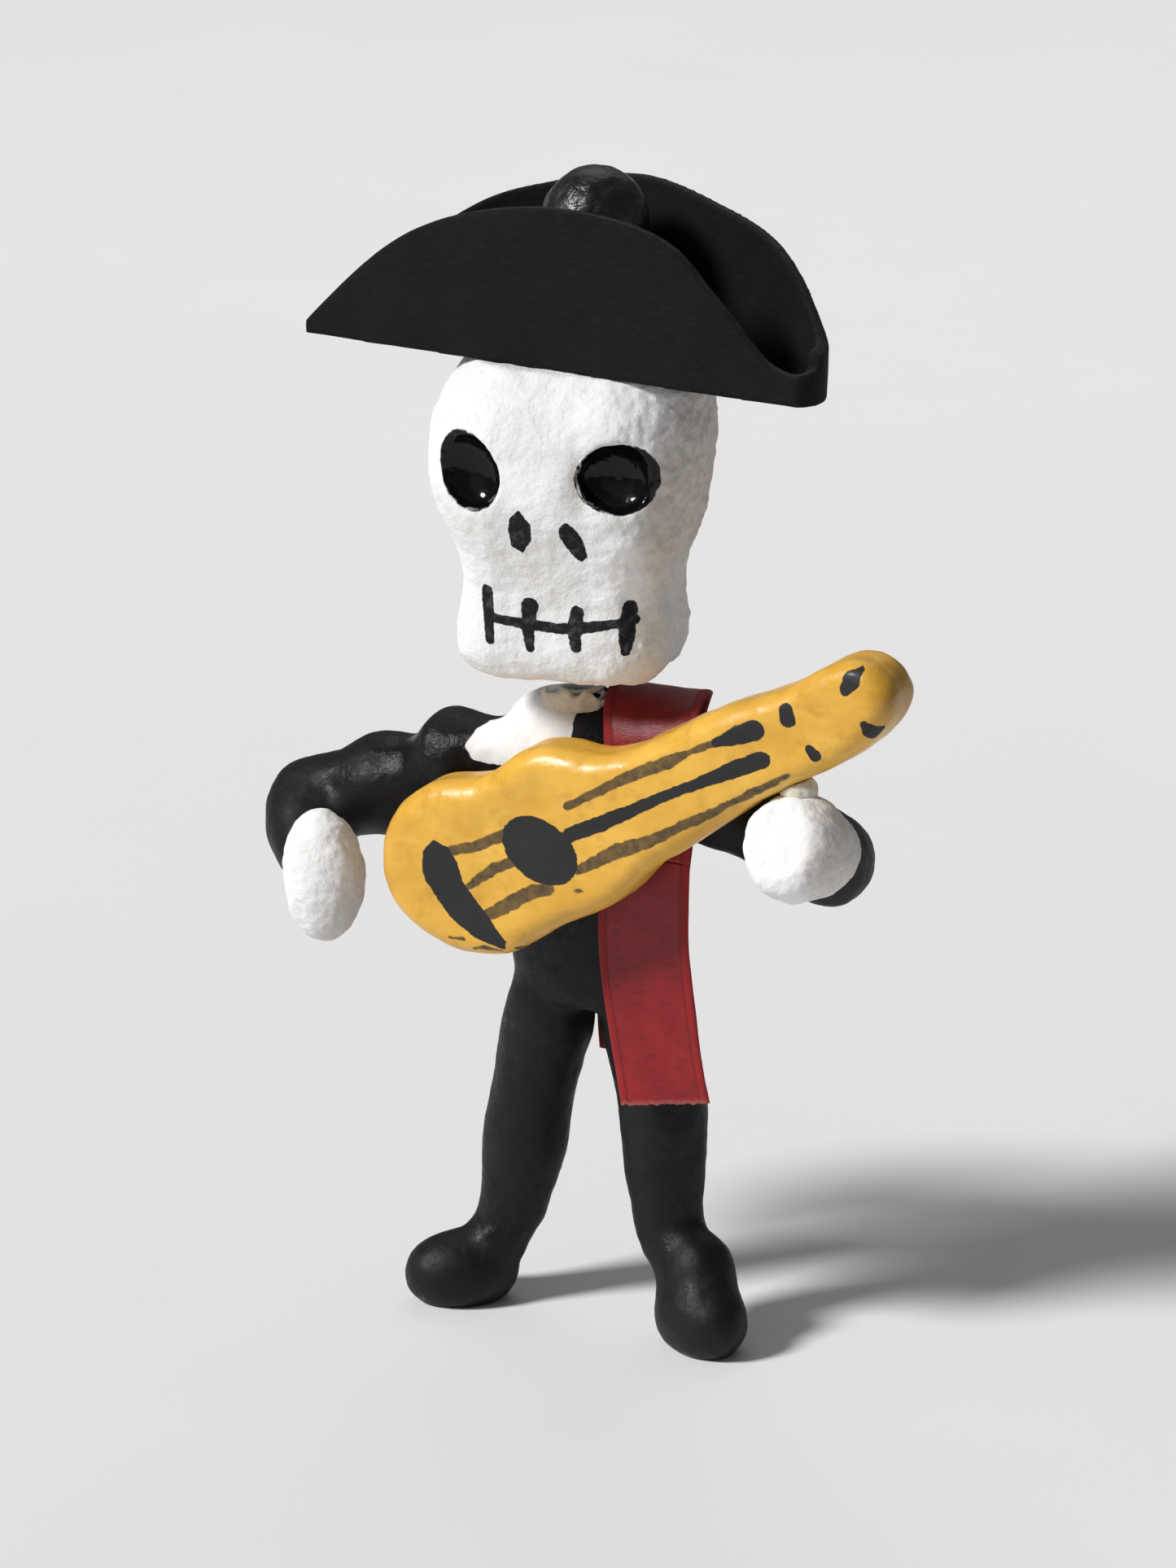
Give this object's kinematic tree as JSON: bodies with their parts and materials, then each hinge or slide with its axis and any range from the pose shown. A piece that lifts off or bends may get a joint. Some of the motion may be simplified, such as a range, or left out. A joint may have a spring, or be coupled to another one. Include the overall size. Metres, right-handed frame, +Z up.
{
  "type": "papier-mache skeleton musician figurine",
  "caption": "Papier-mache skeleton musician in a bicorne hat, its head on a neck spring, holding a small guitar, with a ribbon sash hanging over a shoulder.",
  "frame": {"origin": "middle of the figure's box, on the plane the boots stand on", "axes": "+Z up, the figure faces -Y, +X is the figure's left"},
  "size_m": [0.0746, 0.025, 0.1202],
  "materials": {
    "bone_white_gesso": "matte, grainy",
    "black_paint": "satin, brushed on",
    "black_lacquer": "gloss",
    "black_card": "matte",
    "ochre_varnish": "gloss varnish",
    "red_ribbon": "satin weave",
    "white_painted_spring": "matte",
    "steel_wire": "bright",
    "cream_glue": "matte"
  },
  "bodies": {
    "figure": {"torso": "black_paint", "right_sleeve": "black_paint", "left_sleeve": "black_paint", "right_hand": "bone_white_gesso", "left_hand": "bone_white_gesso", "right_leg": "black_paint", "left_leg": "black_paint", "right_boot": "black_paint", "left_boot": "black_paint", "arm_wire": "steel_wire", "leg_wire": "steel_wire", "guitar": "ochre_varnish", "guitar_glue": "cream_glue", "hand_glue": "cream_glue", "ribbon_shoulder": "red_ribbon", "ribbon_glue": "cream_glue", "neck_glue": "cream_glue"},
    "neck": {"neck_spring": "white_painted_spring"},
    "head_socket": {"skull_glue": "cream_glue"},
    "head": {"skull": "bone_white_gesso", "hat_brim": "black_card", "hat_crown": "black_lacquer"},
    "ribbon_front": {"ribbon_front_tail": "red_ribbon"},
    "ribbon_back": {"ribbon_back_tail": "red_ribbon"}
  },
  "joints": [
    {"name": "head_turn", "type": "hinge", "parent": "figure", "child": "neck", "pos_m": [-0.0016, 0.0031, 0.0682], "axis": [0, 0, 1], "range_deg": [-15, 15], "stiffness_Nm_per_rad": 0.01},
    {"name": "head_nod", "type": "hinge", "parent": "neck", "child": "head_socket", "pos_m": [-0.0016, 0.0031, 0.0682], "axis": [1, 0, 0], "range_deg": [-10, 10], "stiffness_Nm_per_rad": 0.014},
    {"name": "head_sway", "type": "hinge", "parent": "head_socket", "child": "head", "pos_m": [-0.0016, 0.0031, 0.0682], "axis": [0, 1, 0], "range_deg": [-8, 8], "stiffness_Nm_per_rad": 0.014},
    {"name": "ribbon_front_swing", "type": "hinge", "parent": "figure", "child": "ribbon_front", "pos_m": [0.00785, -0.0022, 0.0455], "axis": [-1, 0, 0], "range_deg": [0, 60]},
    {"name": "ribbon_back_swing", "type": "hinge", "parent": "figure", "child": "ribbon_back", "pos_m": [0.00066, 0.0122, 0.0453], "axis": [1, 0, 0], "range_deg": [0, 60]}
  ]
}
